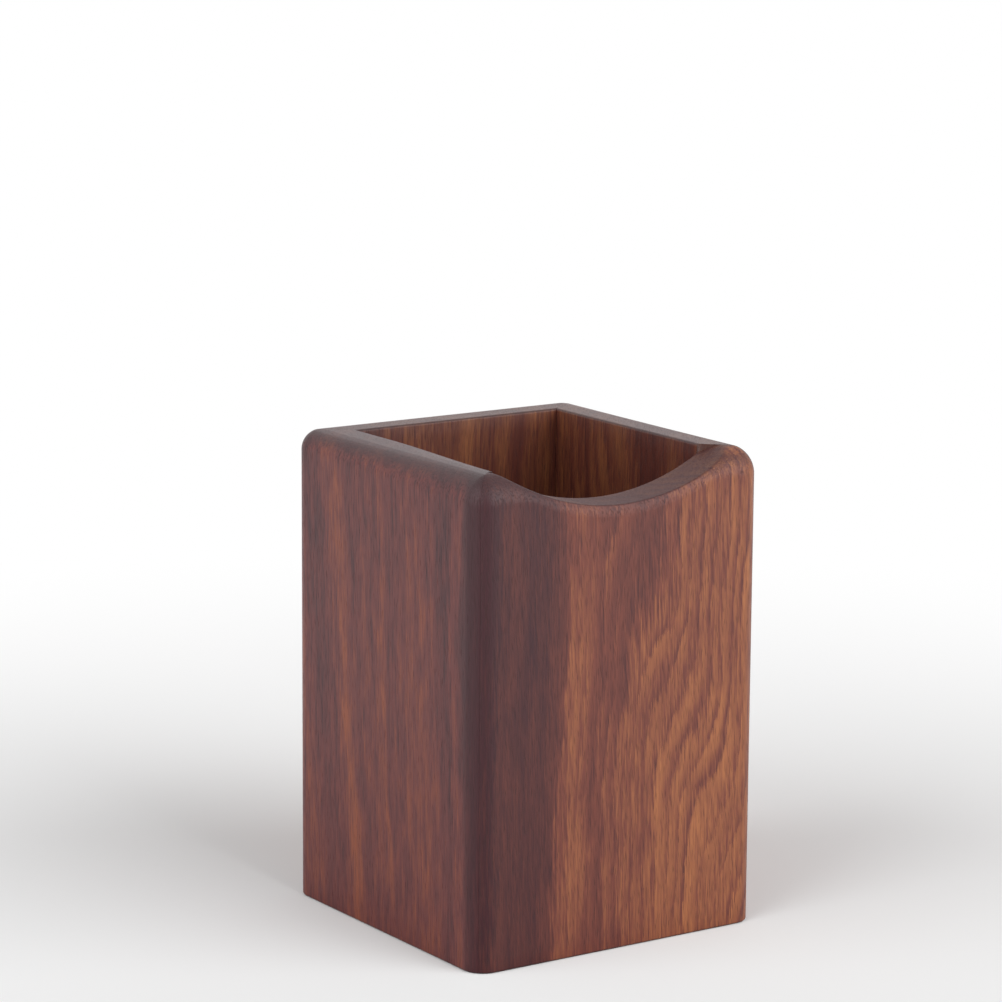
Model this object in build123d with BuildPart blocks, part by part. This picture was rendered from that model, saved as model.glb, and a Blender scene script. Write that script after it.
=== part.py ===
"""Square wooden pen cup: four mitred walls round a base panel, with a scoop in the front wall.

Millimetres. The origin is the middle of the underside, +Z is up and the scooped wall faces -Y.
"""

import os
from math import copysign

from build123d import *

# The cup as a whole
width = 75.0
depth = 75.0
height = 108.0
wall = 10.5

# The outside: upright corners, the foot, and the round at the top, which starts lower at the front
corner_radius = 5.0
crease_corner_radius = 0.4
front_round_height = 6.3
back_round_height = 4.6
foot_easing = 0.6
inner_easing = 0.6

# The scoop in the front wall, and the rim left standing on each side of it
scoop_depth = 9.0
scoop_margin = 7.3

# The base panel and the groove that holds it
base_thickness = 6.0
base_recess = 3.0
groove_depth = 4.0
base_side_gap = 0.3
base_top_gap = 0.2

# Worked out from the sizes above
round_inset = corner_radius - crease_corner_radius
scoop_half_width = width / 2 - scoop_margin
scoop_radius = (scoop_half_width**2 + scoop_depth**2) / (2 * scoop_depth)
base_reach = groove_depth - base_side_gap


# The plan's corners, in turn from the front left, and the way in from the wall that starts at each
plan_corners = [
    (-width / 2, -depth / 2),
    (width / 2, -depth / 2),
    (width / 2, depth / 2),
    (-width / 2, depth / 2),
]
ways_in = [Vector(0, 1, 0), Vector(-1, 0, 0), Vector(0, -1, 0), Vector(1, 0, 0)]


def nearer_middle(corner, distance):
    """A corner of the plan, brought in by a distance from both its walls."""
    return tuple(place - copysign(distance, place) for place in corner)


def turn_centre(corner):
    """The middle of an upright corner's turn, at the height of the rim."""
    return Vector(*nearer_middle(corner, corner_radius), height)


def round_section(corner, way_in):
    """What the round takes off where a wall's straight run meets a corner's turn."""
    round_height = front_round_height if corner[1] < 0 else back_round_height
    rim_edge = turn_centre(corner) - way_in * corner_radius
    face_end = (0, -round_height)
    crease = (round_inset, 0)
    along_wall = way_in.cross(Vector(0, 0, 1))
    with BuildSketch(Plane(origin=rim_edge, x_dir=way_in, z_dir=along_wall)) as section:
        with BuildLine():
            TangentArc(face_end, crease, tangent=(0, 1))
            Polyline(crease, (0, 0), face_end)
        make_face()
    return section.sketch


with BuildPart() as cup_outside:
    with BuildSketch():
        RectangleRounded(width, depth, corner_radius)
    extrude(amount=height)
    fillet(cup_outside.edges().group_by(Axis.Z)[0], foot_easing)

    # Each wall's run, then the corner at its far end
    for start, end, way_in in zip(plan_corners, plan_corners[1:] + plan_corners[:1], ways_in):
        run_start = round_section(start, way_in)
        run_end = round_section(end, way_in)
        loft([run_start, run_end], ruled=True, mode=Mode.SUBTRACT)
        turn_axis = Axis(turn_centre(end), (0, 0, 1))
        revolve(run_end, axis=turn_axis, revolution_arc=90, mode=Mode.SUBTRACT)


def wall_board(start, end):
    """One wall: the slice of the cup's outside between the mitres at two corners of the plan."""
    with BuildPart() as board:
        with BuildSketch():
            with BuildLine():
                Polyline(start, end, nearer_middle(end, wall), nearer_middle(start, wall), close=True)
            make_face()
        extrude(amount=height)
        add(cup_outside.part, mode=Mode.INTERSECT)

        # The groove for the base runs right through to both mitres
        seat = 2 * (groove_depth - wall)
        with BuildSketch(Plane.XY.offset(base_recess)):
            Rectangle(width + seat, depth + seat)
        extrude(amount=base_thickness + base_top_gap, mode=Mode.SUBTRACT)
    return board.part


def rim_edges(board):
    """The top edges of a wall's inner face: all that aren't upright, but for the lowest, over the groove.

    The inner face is the one nearest the middle of the cup.
    """
    inner_face = board.faces().sort_by_distance((0, 0, height / 2))[0]
    level_edges = inner_face.edges().filter_by(Axis.Z, reverse=True)
    return level_edges.sort_by(Axis.Z)[1:]


front_left, front_right, back_right, back_left = plan_corners

with BuildPart() as front_board:
    add(wall_board(front_left, front_right))
    with BuildSketch(Plane.XZ.offset(depth / 2 - wall)):
        with Locations((0, height - scoop_depth + scoop_radius)):
            Circle(scoop_radius)
    extrude(amount=wall, mode=Mode.SUBTRACT)
    fillet(rim_edges(front_board), inner_easing)

with BuildPart() as back_board:
    add(wall_board(back_right, back_left))
    fillet(rim_edges(back_board), inner_easing)

with BuildPart() as right_board:
    add(wall_board(front_right, back_right))
    fillet(rim_edges(right_board), inner_easing)

with BuildPart() as left_board:
    add(wall_board(back_left, front_left))
    fillet(rim_edges(left_board), inner_easing)

with BuildPart() as base_panel:
    with BuildSketch(Plane.XY.offset(base_recess)):
        Rectangle(width - 2 * (wall - base_reach), depth - 2 * (wall - base_reach))
    extrude(amount=base_thickness)

pieces = {
    "front_board": front_board,
    "back_board": back_board,
    "left_board": left_board,
    "right_board": right_board,
    "base_panel": base_panel,
}

os.makedirs("parts", exist_ok=True)
for name, piece in pieces.items():
    piece.part.label = name
    export_step(piece.part, f"parts/{name}.step")
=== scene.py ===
"""Square walnut pen cup with a scooped front, laid out as an add-on and run as a script.

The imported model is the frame: the cup stands on z = 0, its scooped wall faces -Y and +X is to the right.
Every size is in metres and every wood pattern is worked out in millimetres.
"""

import math
from typing import NamedTuple

import bpy
import numpy as np
from bpy.props import FloatProperty, FloatVectorProperty, PointerProperty
from mathutils import Matrix, Vector


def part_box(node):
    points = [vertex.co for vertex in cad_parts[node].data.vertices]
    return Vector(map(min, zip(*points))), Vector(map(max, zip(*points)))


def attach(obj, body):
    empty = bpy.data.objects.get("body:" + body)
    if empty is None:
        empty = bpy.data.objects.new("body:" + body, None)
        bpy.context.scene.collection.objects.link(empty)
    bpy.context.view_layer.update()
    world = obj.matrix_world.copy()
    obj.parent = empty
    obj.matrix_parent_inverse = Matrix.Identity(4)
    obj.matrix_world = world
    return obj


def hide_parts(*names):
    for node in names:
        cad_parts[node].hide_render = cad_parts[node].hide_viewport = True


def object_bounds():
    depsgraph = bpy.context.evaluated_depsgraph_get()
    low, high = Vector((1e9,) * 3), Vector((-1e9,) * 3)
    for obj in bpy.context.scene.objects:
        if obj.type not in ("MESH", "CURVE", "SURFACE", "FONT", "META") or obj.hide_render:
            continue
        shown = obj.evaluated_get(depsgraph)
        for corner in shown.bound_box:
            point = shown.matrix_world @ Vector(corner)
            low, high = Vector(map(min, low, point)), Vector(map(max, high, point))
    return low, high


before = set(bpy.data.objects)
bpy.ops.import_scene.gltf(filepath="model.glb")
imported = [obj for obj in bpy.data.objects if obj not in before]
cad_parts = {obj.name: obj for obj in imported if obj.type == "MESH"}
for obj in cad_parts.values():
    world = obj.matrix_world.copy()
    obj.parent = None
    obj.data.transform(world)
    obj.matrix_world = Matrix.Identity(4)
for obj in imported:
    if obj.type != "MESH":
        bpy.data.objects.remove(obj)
cad_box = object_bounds()

bl_info = {
    "name": "Walnut Pen Cup",
    "version": (1, 0, 0),
    "blender": (4, 5, 0),
    "location": "View3D > Sidebar > Pen Cup",
    "description": "Builds a square walnut pen cup with mitred walls and a scooped front",
    "category": "Add Mesh",
}

MM = 0.001
WHITE = (1.0, 1.0, 1.0, 1.0)
CUP_LOW, CUP_HIGH = cad_box
FRONT_LOW, FRONT_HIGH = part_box("front_board")
BASE_LOW, BASE_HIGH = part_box("base_panel")

# How finely the surfaces are drawn. Columns along half a wall: to the end of the scoop, on to the corner, and
# round it to the mitre.
WALL_COLUMNS = (46, 10, 12)
PLAIN_FACE_ROWS = 31
UPPER_FACE_ROWS = 41
RIM_ROWS = 13
INNER_FACE_ROWS = 31
EASING_ROWS = 6
UNDERSIDE_ROWS = 5
PANEL_COLUMNS = 25
SHARP_ANGLE = math.radians(28)


def linear(hex_colour):
    """A colour written as sRGB hex, such as #7b4739, as the linear red, green and blue that shaders use."""
    srgb = np.array([int(hex_colour[i : i + 2], 16) for i in (1, 3, 5)]) / 255
    return tuple(np.where(srgb <= 0.04045, srgb / 12.92, ((srgb + 0.055) / 1.055) ** 2.4).tolist())


def length_property(name, description, default):
    """A length in metres that a user can change."""
    return FloatProperty(name=name, description=description, default=default, unit="LENGTH", precision=4)


def colour_property(name, description, hex_colour):
    """A colour that a user can change, kept as linear values."""
    return FloatVectorProperty(
        name=name, description=description, default=linear(hex_colour), subtype="COLOR", min=0.0, max=1.0
    )


class PenCupSizes(bpy.types.PropertyGroup):
    """The cup's sizes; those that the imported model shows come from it."""

    width: length_property("Width", "Outside, from the left wall to the right", CUP_HIGH.x - CUP_LOW.x)
    depth: length_property("Depth", "Outside, from the front wall to the back", CUP_HIGH.y - CUP_LOW.y)
    height: length_property("Height", "From the foot to the flat rim", CUP_HIGH.z - CUP_LOW.z)
    wall: length_property("Wall", "Thickness of the four boards", FRONT_HIGH.y - FRONT_LOW.y)
    corner: length_property("Corner", "Radius of the upright corners", 5.0 * MM)
    round_inset: length_property("Round inset", "How far the round over takes the rim back", 4.6 * MM)
    front_round: length_property("Front round", "Height of the round over at the front", 6.3 * MM)
    back_round: length_property("Back round", "Height of the round over at the back", 4.6 * MM)
    foot_easing: length_property("Foot easing", "Radius of the outer edge at the foot", 0.6 * MM)
    rim_easing: length_property("Rim easing", "Radius of the inner edge of the rim", 0.6 * MM)
    base_easing: length_property("Base easing", "Radius of the base panel's edges", 0.4 * MM)
    arris: length_property("Arris", "How far sandpaper broke the outer edge of the rim", 0.35 * MM)
    joint: length_property("Joint", "How far each mitre's edge is broken", 0.05 * MM)
    scoop_depth: length_property("Scoop depth", "How deep the arc dips below the rim", 9.0 * MM)
    scoop_margin: length_property("Scoop margin", "Rim left standing at each end of the arc", 7.3 * MM)
    scoop_ease: length_property("Scoop ease", "How far below the arc its outer edge is eased", 2.8 * MM)
    scoop_inset: length_property("Scoop inset", "How far back that easing takes the edge", 0.6 * MM)
    worn_reach: length_property("Worn reach", "Length of left rim that slopes to the scoop", 40.0 * MM)
    worn_share: FloatProperty(
        name="Worn share", description="Part of the step there worn away", default=0.45, subtype="FACTOR"
    )
    groove_depth: length_property("Groove depth", "How far the base's groove goes into a wall", 4.0 * MM)
    groove_room: length_property("Groove room", "Room in the groove above the base", 0.2 * MM)


class PenCupColours(bpy.types.PropertyGroup):
    """The colours of the wood under its lacquer, and of the floor."""

    heart: colour_property("Heart", "Darkest streaks of the heartwood", "#3d181f")
    rose: colour_property("Rose", "Most of the left plank", "#693230")
    russet: colour_property("Russet", "Lightest streaks of the left plank", "#8f4b30")
    brown: colour_property("Brown", "Most of the other planks", "#763d31")
    amber: colour_property("Amber", "Lightest bands of the other planks", "#af6d44")
    pore: colour_property("Pore", "Open pores, dark inside", "#2a1412")
    cut: colour_property("Cut", "Wood cut across, which drinks more lacquer", "#371e22")
    floor: colour_property("Floor", "Plain pale floor", "#f2f2f2")


# Shapes


def half_run(parts):
    """Local fractions along half a run, for parts given by their number of columns.

    Each part's fraction goes from 0 to 1 over its own columns and stays there, so that a place along the
    run is the sum of each fraction times its part's length.
    """
    ends = np.cumsum(parts)
    index = np.arange(ends[-1] + 1)
    return [np.clip((index - end + part) / part, 0.0, 1.0) for part, end in zip(parts, ends)]


def rows(count, first=0.0, last=1.0):
    """Even steps from a first value to a last, one to a row."""
    return np.linspace(first, last, count)[:, None]


def board_mesh(sizes, length, across, rounds, scooped=False, worn_end=0):
    """Points and faces of one wall that stands at the front: a profile carried along the wall.

    Row by row, a profile goes up the outer face, over the round and the rim, down the inner face and the
    groove and back along the underside. Its points are an inset from the outer face and a height. Column
    by column it runs straight to where the corner starts, then turns 45 degrees round the corner with a
    radius of the corner's radius less the inset, which ends on the mitre. Further in than the corner's
    radius it runs straight on to the mitre. The round is an arc whose height goes evenly from one end of the
    wall to the other, as rounds gives it. A scooped wall's top follows a circle that dips below the rim, and
    its outer edge is eased by a parabola, which fades out where the circle comes up to the rim.
    A wall with a worn end, +1 or -1, meets the scoop there: the tip that stands above the scoop is sanded
    down by part of what it stands up, and less and less along the worn reach.
    Across is the way from this wall's outer face to that of the wall opposite.
    """
    top, half = sizes.height, length / 2
    scoop_end = half - sizes.scoop_margin
    scoop_radius = (scoop_end**2 + sizes.scoop_depth**2) / (2 * sizes.scoop_depth)
    halves = half_run(WALL_COLUMNS)
    column = np.arange(1 - len(halves[0]), len(halves[0]))
    side = np.sign(column)
    middle, shoulder, turn = (fraction[np.abs(column)] for fraction in halves)
    angle = turn * math.pi / 4

    # Added to a value, this spreads it over every column
    spread = np.zeros((1, len(column)))

    def circle_at(x):
        """The scoop's height: a circle through both its ends, which blends into the level of the rim."""
        circle = top - sizes.scoop_depth + scoop_radius - np.sqrt(scoop_radius**2 - x**2)
        return (top + circle - np.hypot(top - circle, sizes.arris)) / 2

    def top_at(x, inset):
        """The rim's height along a wall, at an inset from its outer face."""
        if scooped:
            return circle_at(x)
        from_mitre = half - inset - worn_end * x
        near = np.clip(1 - from_mitre / sizes.worn_reach, 0.0, 1.0) * abs(worn_end)
        return top - sizes.worn_share * near**2 * (3 - 2 * near) * (top - circle_at(half - inset))

    def along(inset):
        """Where each column stands along the wall, for insets in an array of rows by columns."""
        mitre = half - inset
        turned = inset < sizes.corner
        middle_end = np.minimum(scoop_end, mitre - sizes.rim_easing)
        shoulder_end = np.where(turned, half - sizes.corner, (middle_end + mitre) / 2)
        reach = np.where(turned, (sizes.corner - inset) * np.sin(angle), (mitre - shoulder_end) * turn)
        return side * (middle * middle_end + shoulder * (shoulder_end - middle_end) + reach)

    outer_x = along(spread)
    turns_at = half - sizes.corner
    round_height = np.interp(outer_x, (-turns_at, turns_at), rounds)
    round_radius = (sizes.round_inset**2 + round_height**2) / (2 * sizes.round_inset)
    rim = top_at(outer_x, spread)
    scoop_eased = scooped * sizes.scoop_inset * np.clip((top - rim) / sizes.scoop_ease, 0.0, 1.0)

    def outer_inset(z):
        """How far the round, an arc that leaves the face upright, and the easing come in at a height."""
        over = np.clip(z - top + round_height, 0.0, round_height)
        eased = np.clip(1 - (rim - z) / sizes.scoop_ease, 0.0, 1.0) ** 2 * scoop_eased
        return round_radius - np.sqrt(round_radius**2 - over**2) + eased

    # The outer face, from the foot's easing to below the scoop, and on to the rim's broken edge
    quarter = rows(EASING_ROWS, 0.0, math.pi / 2)
    foot_inset = sizes.foot_easing * (1 - np.sin(quarter)) + spread
    foot_z = sizes.foot_easing * (1 - np.cos(quarter)) + spread
    plain_end = top - sizes.scoop_depth - sizes.scoop_ease
    face_z = sizes.foot_easing + (plain_end - sizes.foot_easing) * rows(PLAIN_FACE_ROWS)[1:] + spread
    upper = np.sin(rows(UPPER_FACE_ROWS)[1:] * math.pi / 2)
    upper_z = plain_end + (rim - sizes.arris - plain_end) * upper

    # The edge between the outer face and the rim is broken by a parabola
    edge = outer_inset(rim)
    blend = rows(EASING_ROWS)[1:-1]
    before, after = outer_inset(rim - sizes.arris), edge + sizes.arris
    edge_inset = (1 - blend) ** 2 * before + 2 * blend * (1 - blend) * edge + blend**2 * after
    edge_drop = (1 - blend) ** 2 * sizes.arris

    # The rim, the easing of its inner edge and the inner face
    flat_end = sizes.wall - sizes.rim_easing
    flat_inset = after + (flat_end - after) * rows(RIM_ROWS)
    ease_inset = flat_end + sizes.rim_easing * np.sin(quarter[1:]) + spread
    ease_drop = sizes.rim_easing * (1 - np.cos(quarter[1:]))
    inner_x = along(sizes.wall + spread)
    inner_top = top_at(inner_x, sizes.wall) - sizes.rim_easing
    base_bottom, groove_top = BASE_LOW.z, BASE_HIGH.z + sizes.groove_room
    inner_z = inner_top + (groove_top - inner_top) * rows(INNER_FACE_ROWS)[1:]

    # The groove, the foot's inner edge and the underside, as inset and height
    groove_end = sizes.wall - sizes.groove_depth
    groove = [(groove_end, groove_top), (groove_end, base_bottom), (sizes.wall, base_bottom)]
    groove_inset, groove_z = (np.array(values)[:, None] + spread for values in zip(*groove))
    under_inset = rows(UNDERSIDE_ROWS, sizes.wall, sizes.foot_easing)[:-1] + spread

    inset = np.vstack(
        [
            foot_inset,
            outer_inset(face_z),
            outer_inset(upper_z),
            edge_inset,
            flat_inset,
            ease_inset,
            np.full_like(inner_z, sizes.wall),
            groove_inset,
            under_inset,
        ]
    )
    x = along(inset)
    rim_drop = np.vstack([edge_drop + spread, np.zeros_like(flat_inset), ease_drop + spread])
    first_rim = len(foot_z) + len(face_z) + len(upper_z)
    last_rim = first_rim + len(rim_drop)
    rim_z = top_at(x[first_rim:last_rim], inset[first_rim:last_rim]) - rim_drop
    z = np.vstack([foot_z, face_z, upper_z, rim_z, inner_z, groove_z, np.zeros_like(under_inset)])
    inward = inset + np.where(inset < sizes.corner, (sizes.corner - inset) * (1 - np.cos(angle)), 0.0)

    # The mitre's edge is broken: the last columns stop short, and the cap is the profile drawn in by as much
    caps = []
    for end in (0, -1):
        u_end, z_end = inward[:, end], z[:, end]
        along_u = np.roll(u_end, -1) - np.roll(u_end, 1)
        along_z = np.roll(z_end, -1) - np.roll(z_end, 1)
        step = np.hypot(along_u, along_z)
        cap_u = u_end + sizes.joint * along_z / step
        cap_z = z_end - sizes.joint * along_u / step
        caps.append((side[end] * (half - cap_u), cap_u, cap_z))
        x[:, end] -= side[end] * sizes.joint
    x, inward, z = (
        np.column_stack([first, grid, last]) for first, grid, last in zip(caps[0], (x, inward, z), caps[1])
    )
    points = np.stack([x, inward - across / 2, z], -1)
    return points, grid_faces(*x.shape)


def grid_faces(row_count, column_count):
    """Faces of a grid whose rows close on themselves and whose first and last columns are capped."""
    index = np.arange(row_count * column_count).reshape(row_count, column_count)
    above = np.roll(index, -1, axis=0)
    quads = np.stack([index[:, :-1], index[:, 1:], above[:, 1:], above[:, :-1]], -1).reshape(-1, 4)
    return [*quads.tolist(), index[:, 0].tolist(), index[::-1, -1].tolist()]


def slab_mesh(low, high, easing):
    """Points and faces of a flat panel with eased edges: a rounded rectangle carried along X.

    The profile is a rectangle whose corners are quarter circles. At each end it shrinks by the easing
    less a quarter circle, which rounds the end edges as well.
    """
    low, high = np.array(low), np.array(high)
    middle, half = (low + high) / 2, (high - low) / 2
    quarter = np.linspace(0.0, math.pi / 2, EASING_ROWS)
    corner_turn = np.concatenate([quarter + k * math.pi / 2 for k in range(4)])
    corner_y = np.repeat([1, -1, -1, 1], EASING_ROWS)
    corner_z = np.repeat([1, 1, -1, -1], EASING_ROWS)

    straight = half[0] - easing
    end = straight + easing * np.sin(quarter)
    x = np.concatenate([-end[::-1], np.linspace(-straight, straight, PANEL_COLUMNS)[1:-1], end])
    over = np.clip(np.abs(x) - straight, 0.0, easing)
    shrink = easing - np.sqrt(np.clip(easing**2 - over**2, 0.0, None))
    y = corner_y[:, None] * (half[1] - easing) + np.cos(corner_turn)[:, None] * (easing - shrink)
    z = corner_z[:, None] * (half[2] - easing) + np.sin(corner_turn)[:, None] * (easing - shrink)
    points = np.stack([np.broadcast_to(x, y.shape), y, z], -1) + middle
    return points, grid_faces(*y.shape)


def add_piece(name, points, faces, turn, material):
    """Makes a piece from a grid of points, turned about Z, with smooth faces and crisp edges."""
    cos, sin = round(math.cos(turn)), round(math.sin(turn))
    turned = points.reshape(-1, 3) @ np.array([[cos, sin, 0], [-sin, cos, 0], [0, 0, 1]])
    mesh = bpy.data.meshes.new(name)
    mesh.from_pydata(turned.tolist(), [], faces)
    mesh.shade_smooth()
    mesh.set_sharp_from_angle(angle=SHARP_ANGLE)
    mesh.materials.append(material)
    mesh.validate()
    piece = bpy.data.objects.new(name, mesh)
    bpy.context.scene.collection.objects.link(piece)
    return piece


# Nodes

# The sockets of a mix node's share and two colours; those between them are for other types of data
MIX_SHARE, MIX_FIRST, MIX_SECOND = 0, 6, 7


def add_node(tree, kind, inputs=None, stops=(), output=None, **settings):
    """Adds a node with its settings, ramp stops and inputs, and gives back the named or first open output.

    An input given as a socket is linked, and any other value is set on the input itself.
    """
    made = tree.nodes.new(kind)
    for name, value in settings.items():
        setattr(made, name, value)
    for place, (position, colour) in enumerate(stops):
        elements = made.color_ramp.elements
        element = elements[place] if place < min(2, len(stops)) else elements.new(position)
        element.position = position
        element.color = (*colour, 1.0)
    for name, value in (inputs or {}).items():
        if isinstance(value, bpy.types.NodeSocket):
            tree.links.new(value, made.inputs[name])
        else:
            made.inputs[name].default_value = value
    if output is None:
        return next((socket for socket in made.outputs if socket.enabled), None)
    return made.outputs[output]


def calc(tree, operation, *values):
    """The result of a maths operation on numbers or sockets."""
    return add_node(tree, "ShaderNodeMath", dict(enumerate(values)), operation=operation)


def calc_vector(tree, operation, *values, output=None):
    """The result of a maths operation on vectors or sockets."""
    inputs = dict(enumerate(values))
    return add_node(tree, "ShaderNodeVectorMath", inputs, output=output, operation=operation)


def split(tree, vector):
    """The three parts of a vector."""
    return [add_node(tree, "ShaderNodeSeparateXYZ", {0: vector}, output=axis) for axis in "XYZ"]


def remap(tree, value, source=(0.0, 1.0), result=(0.0, 1.0), smooth=False):
    """A value carried from one range to another and held at its ends, straight or along an S curve."""
    inputs = {"Value": value}
    inputs["From Min"], inputs["From Max"] = source
    inputs["To Min"], inputs["To Max"] = result
    curve = "SMOOTHSTEP" if smooth else "LINEAR"
    return add_node(tree, "ShaderNodeMapRange", inputs, interpolation_type=curve)


def grain(tree, place, size, detail, seed=(0.0, 0.0, 0.0)):
    """Noise in grains of a size, in millimetres across the board and along it."""
    wide, tall = size
    place = calc_vector(tree, "MULTIPLY_ADD", place, (1 / wide, 1 / wide, 1 / tall), seed)
    return add_node(tree, "ShaderNodeTexNoise", {"Vector": place, "Scale": 1.0, "Detail": detail})


def mix(tree, share, colour, other, blend="MIX"):
    """A colour with a share of another mixed into it or multiplied by it."""
    inputs = {MIX_SHARE: share, MIX_FIRST: colour, MIX_SECOND: other}
    return add_node(tree, "ShaderNodeMix", inputs, data_type="RGBA", blend_type=blend)


# Materials

# The wood's grains, in millimetres across the board and along it
WANDER_GRAIN = (22.0, 55.0)
STREAK_GRAIN = (2.0, 60.0)
FINE_GRAIN = (0.6, 8.0)
FIBRE_GRAIN = (0.2, 4.5)
PORE_GRAIN = (0.25, 2.2)

# Its rings, in millimetres: how far they wander at most and fray, how wide a year is, and how far from the
# middle of a board the bands are told apart
WANDER = 4.5
FRAY = 2.4
YEAR_WIDTH = 3.2
BAND_REACH = 45.0

# Where the rings step aside: along a slanting line and clear of the edge, in millimetres
JOG_SLANT = 2.2
JOG_ZONE = (3.0, 63.0)
FREE_ZONE = (-18.0, 16.0)

# Millimetres that the rings move across for each one through the board, and that the fibres move up for each
# one across or through it
RING_SKEW = 0.6
STAGGER_ACROSS, STAGGER_THROUGH = 5.3, 7.1

# How light the wood is, from 0 to 1. Fleck: how much stronger fine streaks get in light wood, and their
# strength in the darkest. Calm: which wood is dark enough to be more even, and how much of the unevenness it
# shows. Late: which part of a year darkens. Faint: how much that shows, from the darker blotches to the
# lighter. Middling: where the middle colour lies.
FLECK_GAIN, FLECK_LEAST = 0.8, 0.3
CALM_WOOD, CALM_SHARE = (0.0, 0.4), (0.15, 1.0)
LATE_WOOD = (0.45, 1.0)
FAINT_BLOTCH, FAINT_SHARE = (0.35, 0.65), (0.3, 1.5)
MIDDLING = 0.45

# Fibres and pores: how the fibres shade the wood, how pores shun light wood, which grains are pores, and how
# much they show where they are cut across
FIBRE_VALUES, FIBRE_SHADES = (0.25, 0.75), (0.86, 1.14)
PORE_CROWDING = -0.05
PORE_VALUES = (0.55, 0.69)
CUT_PORES = 0.45

# Stains and painted shade: the most that cut fibres take, the tilt of a mitre and how much darker it is made,
# a rubbed spot's size in millimetres with how far it fades and what it keeps, and the tilt of the inner faces
# with the painted shade that darkens them for the shade inside the cup
CUT_STAIN = 0.74
MITRE_TILT, MITRE_DARKENING = (0.3, 0.45), 0.6
RUBBED_SIZE = (2.8, 1.8, 1.4)
RUBBED_FADE, RUBBED_STAIN = (0.4, 1.5), 0.2
INNER_TILT, INNER_PAINTED_SHADE = (0.3, 0.6), 0.68

# The lacquer: its roughness over wood and over pores, and how deep the grain lies in it
LACQUER_ROUGHNESS = (0.42, 0.6)
LACQUER_IOR = 1.45
GRAIN_RELIEF, GRAIN_DEPTH = 0.4, 0.06 * MM

# The paper: between which distances from the middle of the cup it turns white
PAPER_FADE = (0.08, 0.40)


class Plank(NamedTuple):
    """How a plank was cut, as seen from outside, and how its wood looks. Lengths are in millimetres."""

    turn: tuple  # Degrees about X, Y and Z that stand it up and bring it to the front
    seed: tuple  # Its place in the tree
    bands: tuple  # How light the rings are, by their distance from the middle
    lean: float = 0.0  # How its rings slope
    fan: float = 0.0  # How much more they slope for each millimetre across
    jog: float = 0.0  # How far the rings step aside up the board
    feather: float = 2.0  # How far fine streaks fray the edge of a band
    # Painted shade, which darkens the walls towards the rim where it is below zero:
    painted_shade_rise: float = 0.0  # How much lighter the wood gets for each millimetre up
    lines: float = 0.2  # How dark each year's late wood is
    fleck: float = 1.0  # How strong the fine streaks are
    mottle: float = 0.3  # How uneven the plank is
    blotch: tuple = (5.0, 22.0)  # Width and height of its blotches
    pores: float = 0.38  # How much the pores show
    thirst: tuple = (0.1, 0.8)  # Between which tilts the cut fibres drink more lacquer
    dull: float = -0.08  # How much rougher that leaves them, or smoother below zero
    rubbed: tuple | None = None  # Where a spot has lost its lacquer: across, through and up
    tones: tuple = ("heart", "brown", "amber")  # Its colours from dark to light


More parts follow.
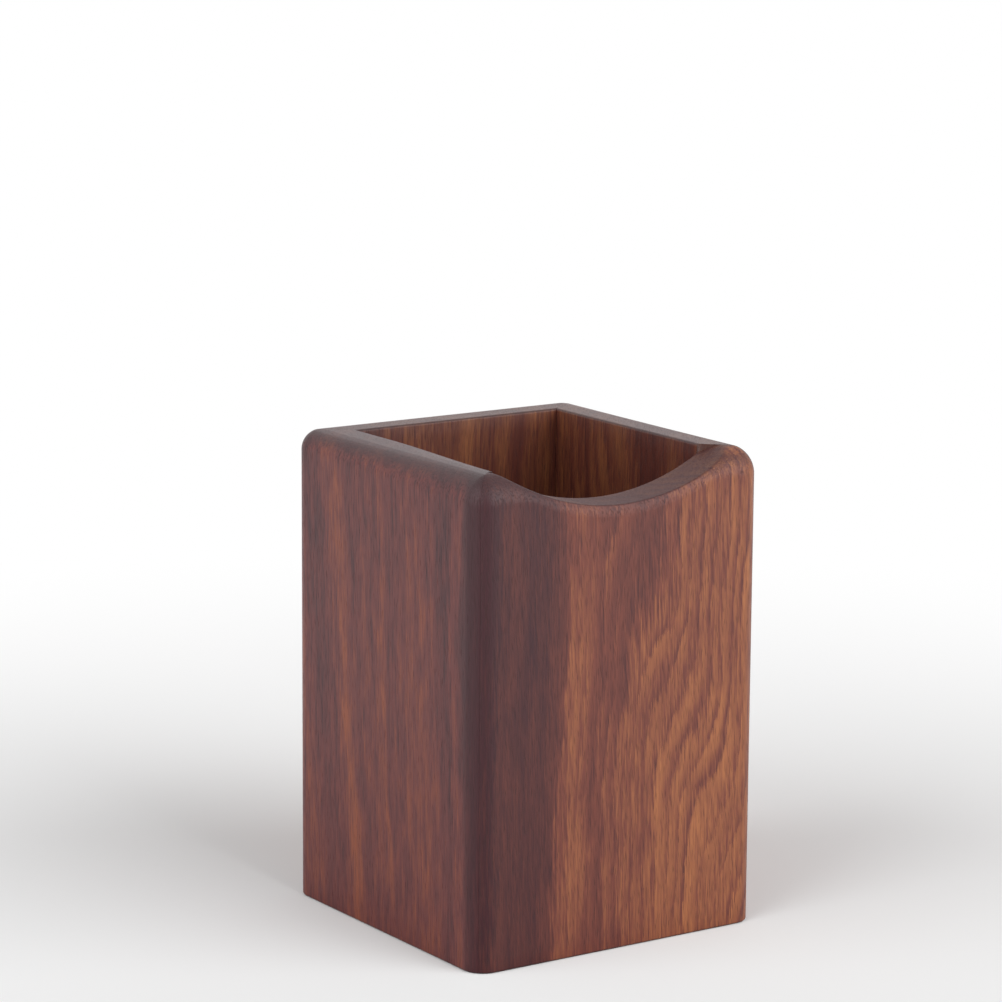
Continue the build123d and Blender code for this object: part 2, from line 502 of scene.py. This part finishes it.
PLANKS = {
    "front": Plank(
        turn=(0, 0, 0),
        seed=(0.0, 0.0, 0.0),
        # The bands at the left edge are dark heartwood; those at zero, -37.5 to -34.6 mm, also darken the
        # upright front-left corner as painted shade
        bands=(
            (-37.5, 0.00), (-34.6, 0.00), (-33.2, 0.08), (-32.0, 0.14), (-29.0, 0.12), (-26.0, 0.09),
            (-20.5, 0.11), (-18.4, 0.15), (-16.8, 0.28), (-14.8, 0.47), (-12.0, 0.60), (-9.0, 0.55),
            (-6.8, 0.36), (-4.0, 0.42), (-2.4, 0.48), (-1.0, 0.36), (0.4, 0.46), (2.0, 0.58), (8.2, 0.62),
            (10.0, 0.68), (16.2, 0.72), (18.8, 0.64), (21.0, 0.74), (28.0, 0.72), (31.0, 0.60), (37.5, 0.46),
        ),
        lean=-0.015,
        jog=11.0,
        feather=2.2,
        painted_shade_rise=-0.0006,
        lines=0.27,
        thirst=(0.1, 0.95),
        dull=0.16,
        rubbed=(31.8, 3.2, 53.3),
    ),
    "left": Plank(
        turn=(0, 0, 90),
        seed=(3.7, 9.2, 1.3),
        # Its last bands, from 31.9 mm on, are made dark as painted shade for the upright front-left corner
        bands=(
            (-37.5, 0.52), (-31.0, 0.48), (-27.0, 0.28), (-23.5, 0.30), (-18.0, 0.46), (-16.0, 0.76),
            (-13.6, 0.68), (-11.4, 0.40), (-6.0, 0.44), (-1.0, 0.48), (0.6, 0.58), (2.0, 0.54), (3.4, 0.36),
            (6.4, 0.36), (9.0, 0.46), (16.0, 0.52), (21.0, 0.48), (23.6, 0.28), (26.0, 0.28), (28.0, 0.48),
            (29.9, 0.40), (31.9, 0.12), (34.0, 0.00), (37.5, 0.00),
        ),
        lean=0.07,
        fan=-0.0022,
        feather=1.2,
        painted_shade_rise=-0.0016,
        lines=0.0,
        fleck=1.4,
        mottle=0.38,
        blotch=(1.7, 10.0),
        pores=0.28,
        thirst=(0.25, 0.9),
        tones=("heart", "rose", "russet"),
    ),
    "back": Plank(
        turn=(0, 0, 180),
        seed=(7.3, 2.1, 4.4),
        bands=(
            (-37.5, 0.34), (-30.0, 0.56), (-27.5, 0.40), (-20.0, 0.60), (-12.0, 0.66), (-10.4, 0.42),
            (-4.0, 0.56), (3.0, 0.72), (5.4, 0.50), (12.0, 0.66), (20.0, 0.54), (22.4, 0.34), (30.0, 0.42),
            (37.5, 0.28),
        ),
        lean=0.03,
        fan=0.0006,
        jog=7.0,
    ),
    "right": Plank(
        turn=(0, 0, -90),
        seed=(5.1, 6.4, 8.8),
        bands=(
            (-37.5, 0.30), (-31.0, 0.52), (-24.0, 0.64), (-22.0, 0.42), (-13.0, 0.60), (-8.0, 0.46),
            (-5.6, 0.30), (-1.0, 0.54), (8.0, 0.72), (10.4, 0.50), (18.0, 0.70), (24.0, 0.58), (27.0, 0.32),
            (37.5, 0.24),
        ),
        lean=-0.05,
        fan=0.0008,
        jog=9.0,
    ),
    "base": Plank(
        turn=(0, -90, 90),
        seed=(1.9, 4.8, 6.6),
        bands=(
            (-37.5, 0.30), (-22.0, 0.52), (-14.0, 0.40), (-6.0, 0.62), (2.0, 0.50), (10.0, 0.66),
            (20.0, 0.44), (37.5, 0.36),
        ),
    ),
}


def new_material(name):
    """A material with an empty node tree."""
    material = bpy.data.materials.new(name)
    material.use_nodes = True
    material.node_tree.nodes.clear()
    return material


def wood_figure(tree, plank, colours, board):
    """The colour of the planed wood, with how its fibres shade it and where its pores are, from 0 to 1."""
    across, through, up = split(tree, board)

    # The rings slope, wander by a millimetre or two, and step aside up the board where the cut leaves them
    slope = calc(tree, "MULTIPLY_ADD", across, plank.fan, plank.lean)
    ring = calc(tree, "MULTIPLY_ADD", up, slope, across)
    wander = grain(tree, board, WANDER_GRAIN, detail=2.0, seed=plank.seed)
    ring = calc(tree, "ADD", ring, remap(tree, wander, result=(-WANDER, WANDER)))
    ring = calc(tree, "MULTIPLY_ADD", through, RING_SKEW, ring)
    zone = calc(tree, "MULTIPLY_ADD", across, JOG_SLANT, up)
    jog = remap(tree, zone, JOG_ZONE, (0.0, -plank.jog), smooth=True)
    free = remap(tree, across, FREE_ZONE, smooth=True)
    ring = calc(tree, "MULTIPLY_ADD", jog, free, ring)

    # Each fibre lies a little higher than its neighbour, so that no two streaks or pores start in line
    stagger = calc(tree, "MULTIPLY_ADD", across, STAGGER_ACROSS, up)
    stagger = calc(tree, "MULTIPLY_ADD", through, STAGGER_THROUGH, stagger)
    fibres = add_node(tree, "ShaderNodeCombineXYZ", {0: across, 1: through, 2: stagger})
    fibre = grain(tree, fibres, FIBRE_GRAIN, detail=1.0)
    fine = grain(tree, fibres, FINE_GRAIN, detail=2.0, seed=plank.seed)
    pore = grain(tree, fibres, PORE_GRAIN, detail=0.0)

    # Fibres fray each year's ring, and fine streaks feather the bands of rings
    year = calc(tree, "MULTIPLY_ADD", fibre, FRAY, ring)
    ring = calc(tree, "ADD", ring, remap(tree, fine, result=(-plank.feather, plank.feather)))
    place = remap(tree, ring, (-BAND_REACH, BAND_REACH))
    bands = [((at + BAND_REACH) / (2 * BAND_REACH), (light,) * 3) for at, light in plank.bands]
    tone = add_node(tree, "ShaderNodeValToRGB", {"Fac": place}, stops=bands)

    # Streaks along the rings, blotches and flecks, all weaker in dark wood, and painted shade from foot to
    # rim
    streak = add_node(tree, "ShaderNodeCombineXYZ", {0: ring, 1: through, 2: up})
    streak = grain(tree, streak, STREAK_GRAIN, detail=3.0, seed=plank.seed)
    patch = grain(tree, board, plank.blotch, detail=2.0, seed=plank.seed)
    most = 2 * plank.mottle
    uneven = remap(tree, calc(tree, "ADD", patch, streak), (0.0, 2.0), (-most, most))
    calm = remap(tree, tone, CALM_WOOD, CALM_SHARE)
    contrast = calc(tree, "MULTIPLY_ADD", tone, FLECK_GAIN, FLECK_LEAST)
    fleck = calc(tree, "MULTIPLY_ADD", fine, plank.fleck, -plank.fleck / 2)
    tone = calc(tree, "MULTIPLY_ADD", fleck, contrast, tone)
    tone = calc(tree, "MULTIPLY_ADD", uneven, calm, tone)
    # Painted shade: the wood is made darker towards the rim, where the room lights it more
    tone = calc(tree, "MULTIPLY_ADD", up, plank.painted_shade_rise, tone)

    # Each year's ring darkens towards its late wood and ends sharply, more in some blotches
    year = calc(tree, "MULTIPLY_ADD", year, 1 / YEAR_WIDTH, patch)
    late = remap(tree, calc(tree, "FRACT", year), LATE_WOOD, (0.0, -plank.lines), smooth=True)
    late = calc(tree, "MULTIPLY", late, remap(tree, patch, FAINT_BLOTCH, FAINT_SHARE))
    tone = calc(tree, "MULTIPLY_ADD", late, free, tone)
    dark, middling, light = (getattr(colours, tint) for tint in plank.tones)
    stops = [(0.0, dark), (MIDDLING, middling), (1.0, light)]
    wood = add_node(tree, "ShaderNodeValToRGB", {"Fac": tone}, stops=stops)

    # The fibres themselves, and pores that crowd into the darker rings
    wood = mix(tree, 1.0, wood, remap(tree, fibre, FIBRE_VALUES, FIBRE_SHADES), "MULTIPLY")
    pore = remap(tree, calc(tree, "MULTIPLY_ADD", tone, PORE_CROWDING, pore), PORE_VALUES)
    return wood, fibre, pore


def cut_stain(tree, plank, board, aside, inward, level):
    """How much darker than planed wood a face is, from 0 to 1, by how far it tilts each way.

    Cut across, the wood drinks more lacquer. The mitre faces are made darker, and a rubbed spot has lost its
    lacquer.
    """
    stain = remap(tree, level, plank.thirst, (0.0, CUT_STAIN), smooth=True)
    # Faces tilted like a mitre are made darker
    mitre_dark = remap(tree, calc(tree, "MULTIPLY", aside, inward), MITRE_TILT, (0.0, MITRE_DARKENING))
    stain = calc(tree, "MAXIMUM", stain, mitre_dark)
    if plank.rubbed is None:
        return stain
    away = calc_vector(tree, "SUBTRACT", board, plank.rubbed)
    away = calc_vector(tree, "MULTIPLY", away, tuple(1 / size for size in RUBBED_SIZE))
    away = calc_vector(tree, "LENGTH", away, output="Value")
    kept = remap(tree, away, RUBBED_FADE, (RUBBED_STAIN, 1.0), smooth=True)
    return calc(tree, "MULTIPLY", stain, kept)


def walnut(name, plank, colours, outer, middle):
    """Black walnut, planed, sanded and given a satin lacquer.

    What the eye sees: rings as soft bands from purple brown to amber that follow the tree, streaks in them,
    fibres and short open pores along the board, dots where they are cut across, and a dull even sheen. The
    pattern fills the plank, in millimetres across it, through it from the outer face, and up from its middle.
    """
    material = new_material(name)
    tree = material.node_tree
    turn = tuple(math.radians(angle) for angle in plank.turn)
    place = {
        "Vector": add_node(tree, "ShaderNodeTexCoord", output="Object"),
        "Rotation": turn,
        "Scale": (1 / MM, 1 / MM, 1 / MM),
        "Location": (0.0, outer / MM, -middle / MM),
    }
    board = add_node(tree, "ShaderNodeMapping", place)
    normal = {"Vector": add_node(tree, "ShaderNodeNewGeometry", output="Normal"), "Rotation": turn}
    normal = add_node(tree, "ShaderNodeMapping", normal, vector_type="VECTOR")
    aside, inward, level = split(tree, normal)
    aside, level = (calc(tree, "ABSOLUTE", tilt) for tilt in (aside, level))

    # Over the planed wood lie the stain of its cut faces and its pores, which are dots where it is cut across
    wood, fibre, pore = wood_figure(tree, plank, colours, board)
    stain = cut_stain(tree, plank, board, aside, inward, level)
    wood = mix(tree, stain, wood, (*colours.cut, 1.0))
    pore_stain = calc(tree, "MULTIPLY", pore, remap(tree, level, result=(plank.pores, CUT_PORES)))
    wood = mix(tree, pore_stain, wood, (*colours.pore, 1.0))

    # Painted shade: the inner faces are darkened for the shade that falls inside the cup
    wood = mix(tree, 1.0, wood, remap(tree, inward, INNER_TILT, (1.0, INNER_PAINTED_SHADE)), "MULTIPLY")

    # The lacquer sinks into the pores and leaves them dull, and cut faces are duller or shinier than the rest
    rough = remap(tree, pore, result=LACQUER_ROUGHNESS)
    rough = calc(tree, "MULTIPLY_ADD", stain, plank.dull, rough)
    height = calc(tree, "MULTIPLY_ADD", pore, -1.0, fibre)
    relief = {"Height": height, "Strength": GRAIN_RELIEF, "Distance": GRAIN_DEPTH}
    bump = add_node(tree, "ShaderNodeBump", relief)
    finish = {"Base Color": wood, "Roughness": rough, "IOR": LACQUER_IOR, "Normal": bump}
    shader = add_node(tree, "ShaderNodeBsdfPrincipled", finish)
    add_node(tree, "ShaderNodeOutputMaterial", {"Surface": shader})
    return material


def white_where_seen(tree):
    """1 for the rays that see a surface, straight or mirrored or through glass, and 0 for the others."""
    seen = add_node(tree, "ShaderNodeLightPath", output="Is Camera Ray")
    for kind in ("Is Glossy Ray", "Is Transmission Ray"):
        ray = add_node(tree, "ShaderNodeLightPath", output=kind)
        seen = calc(tree, "MAXIMUM", seen, ray)
    return seen


def paper_floor(name, colour):
    """Matt white studio paper: pale near the cup, where it keeps the shadow, and white further out."""
    material = new_material(name)
    tree = material.node_tree
    place = add_node(tree, "ShaderNodeTexCoord", output="Object")
    away = calc_vector(tree, "LENGTH", place, output="Value")
    fade = remap(tree, away, PAPER_FADE, smooth=True)
    fade = calc(tree, "MULTIPLY", fade, white_where_seen(tree))
    paper = add_node(tree, "ShaderNodeBsdfDiffuse", {"Color": (*colour, 1.0), "Roughness": 1.0})
    white = add_node(tree, "ShaderNodeEmission", {"Color": WHITE, "Strength": 1.0})
    mixed = add_node(tree, "ShaderNodeMixShader", {0: fade, 1: paper, 2: white})
    add_node(tree, "ShaderNodeOutputMaterial", {"Surface": mixed})
    return material


# The stage

# The floor's half width, and how far it lies below the foot
FLOOR_HALF = 3.0
FLOOR_DROP = 0.05 * MM

# How strongly the room lights the wood, as a share of the white that is seen
ROOM_LIGHT = 0.34

# Softboxes that face the cup: where each stands, its watts, and whether the lacquer mirrors it
LAMP_TARGET = Vector((0, 0, 0.055))
LAMP_SIZE = 2.0
LAMPS = {
    "front_softbox": ((0.7, -1.6, 0.9), 27.0, True),
    "left_softbox": ((-1.7, -0.1, 0.9), 18.5, True),
    "back_softbox": ((1.3, 1.3, 0.9), 10.0, False),
}

# The photograph's view: where the camera stood, how far it was turned, tipped and rolled in radians, and its
# lens and sensor in millimetres
CAMERA_PLACE = (-0.47496, -0.69157, 0.25742)
CAMERA_PAN, CAMERA_TILT, CAMERA_ROLL = 0.59537, 0.19300, 0.00650
CAMERA_LENS, CAMERA_SENSOR = 138.25, 36.0


def add_floor(scene):
    """A wide sheet of paper just under the cup."""
    corners = FLOOR_HALF * np.array([(-1, -1), (1, -1), (1, 1), (-1, 1)])
    points = np.column_stack([corners, np.full(len(corners), -FLOOR_DROP)])
    mesh = bpy.data.meshes.new("floor")
    mesh.from_pydata(points.tolist(), [], [(0, 1, 2, 3)])
    mesh.materials.append(paper_floor("matt_white_paper", scene.pencup_colours.floor))
    floor = bpy.data.objects.new("floor", mesh)
    scene.collection.objects.link(floor)


def add_room(scene):
    """A soft white room: full white where it is seen, a third as strong where it lights the wood."""
    world = bpy.data.worlds.new("soft_white_room")
    world.use_nodes = True
    scene.world = world
    tree = world.node_tree
    tree.nodes.clear()
    strength = remap(tree, white_where_seen(tree), result=(ROOM_LIGHT, 1.0))
    sky = add_node(tree, "ShaderNodeBackground", {"Color": WHITE, "Strength": strength})
    add_node(tree, "ShaderNodeOutputWorld", {"Surface": sky})


def add_lamps(scene):
    """Softboxes at the front, the left and the back."""
    for name, (place, power, mirrored) in LAMPS.items():
        light = bpy.data.lights.new(name, "AREA")
        light.size, light.energy = LAMP_SIZE, power
        lamp = bpy.data.objects.new(name, light)
        lamp.location = place
        lamp.visible_glossy = mirrored
        lamp.rotation_euler = (LAMP_TARGET - Vector(place)).to_track_quat("-Z", "Y").to_euler()
        scene.collection.objects.link(lamp)


def add_camera(scene):
    """The photograph's camera."""
    level = math.cos(CAMERA_TILT)
    ahead = Vector((math.sin(CAMERA_PAN) * level, math.cos(CAMERA_PAN) * level, -math.sin(CAMERA_TILT)))
    right = Vector((math.cos(CAMERA_PAN), -math.sin(CAMERA_PAN), 0.0))
    axes = Matrix((right, right.cross(ahead), -ahead)).transposed().to_4x4()
    lens = bpy.data.cameras.new("camera")
    lens.sensor_width, lens.lens = CAMERA_SENSOR, CAMERA_LENS
    camera = bpy.data.objects.new("camera", lens)
    camera.matrix_world = Matrix.Translation(CAMERA_PLACE) @ (axes @ Matrix.Rotation(CAMERA_ROLL, 4, "Z"))
    scene.collection.objects.link(camera)
    scene.camera = camera


# Operators


def seat(piece, node):
    """A finished piece stands for its CAD node, on the cup's only body."""
    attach(piece, "root")
    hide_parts(node)


class PENCUP_OT_front_wall(bpy.types.Operator):
    """Builds the front wall, with the arc scooped out of its top"""

    bl_idname = "pencup.front_wall"
    bl_label = "Front Wall"

    def execute(self, context):
        sizes, colours = context.scene.pencup_sizes, context.scene.pencup_colours
        rounds = (sizes.front_round, sizes.front_round)
        points, faces = board_mesh(sizes, sizes.width, sizes.depth, rounds, scooped=True)
        outer, middle = sizes.depth / 2, sizes.height / 2
        material = walnut("walnut_lacquered_front", PLANKS["front"], colours, outer, middle)
        seat(add_piece("front_wall", points, faces, 0.0, material), "front_board")
        return {"FINISHED"}


class PENCUP_OT_plain_walls(bpy.types.Operator):
    """Builds the back, left and right walls"""

    bl_idname = "pencup.plain_walls"
    bl_label = "Plain Walls"

    def execute(self, context):
        sizes, colours = context.scene.pencup_sizes, context.scene.pencup_colours
        front, back = sizes.front_round, sizes.back_round
        walls = (
            ("back", 180, sizes.width, sizes.depth, (back, back), 0),
            ("left", -90, sizes.depth, sizes.width, (back, front), 1),
            ("right", 90, sizes.depth, sizes.width, (front, back), 0),
        )
        for name, turn, length, across, rounds, worn_end in walls:
            points, faces = board_mesh(sizes, length, across, rounds, worn_end=worn_end)
            material = walnut(f"walnut_lacquered_{name}", PLANKS[name], colours, across / 2, sizes.height / 2)
            seat(add_piece(f"{name}_wall", points, faces, math.radians(turn), material), f"{name}_board")
        return {"FINISHED"}


class PENCUP_OT_base(bpy.types.Operator):
    """Builds the base panel that sits in the walls' groove"""

    bl_idname = "pencup.base"
    bl_label = "Base"

    def execute(self, context):
        sizes, colours = context.scene.pencup_sizes, context.scene.pencup_colours
        points, faces = slab_mesh(BASE_LOW, BASE_HIGH, sizes.base_easing)
        material = walnut("walnut_lacquered_base", PLANKS["base"], colours, BASE_HIGH.z, 0.0)
        seat(add_piece("base", points, faces, 0.0, material), "base_panel")
        return {"FINISHED"}


class PENCUP_OT_stage(bpy.types.Operator):
    """Sets up the floor, the room, the soft lights and the camera"""

    bl_idname = "pencup.stage"
    bl_label = "Stage"

    def execute(self, context):
        for add_part in (add_floor, add_room, add_lamps, add_camera):
            add_part(context.scene)
        context.scene.view_settings.view_transform = "Standard"
        return {"FINISHED"}


class PENCUP_PT_panel(bpy.types.Panel):
    """Lists the cup's sizes, its colours and the operators that build it"""

    bl_label = "Pen Cup"
    bl_space_type = "VIEW_3D"
    bl_region_type = "UI"
    bl_category = "Pen Cup"

    def draw(self, context):
        for group in (context.scene.pencup_sizes, context.scene.pencup_colours):
            for name in group.bl_rna.properties.keys():
                if name not in ("rna_type", "name"):
                    self.layout.prop(group, name)
        for operator in OPERATORS:
            self.layout.operator(operator.bl_idname)


OPERATORS = (PENCUP_OT_front_wall, PENCUP_OT_plain_walls, PENCUP_OT_base, PENCUP_OT_stage)
CLASSES = (PenCupSizes, PenCupColours, *OPERATORS, PENCUP_PT_panel)


def register():
    """Makes the classes and the cup's settings known to Blender."""
    for made in CLASSES:
        bpy.utils.register_class(made)
    bpy.types.Scene.pencup_sizes = PointerProperty(type=PenCupSizes)
    bpy.types.Scene.pencup_colours = PointerProperty(type=PenCupColours)


def unregister():
    """Takes the settings and the classes out again."""
    del bpy.types.Scene.pencup_colours
    del bpy.types.Scene.pencup_sizes
    for made in reversed(CLASSES):
        bpy.utils.unregister_class(made)


def main():
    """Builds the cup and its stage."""
    register()
    bpy.ops.pencup.front_wall()
    bpy.ops.pencup.plain_walls()
    bpy.ops.pencup.base()
    bpy.ops.pencup.stage()


if __name__ == "__main__":
    main()
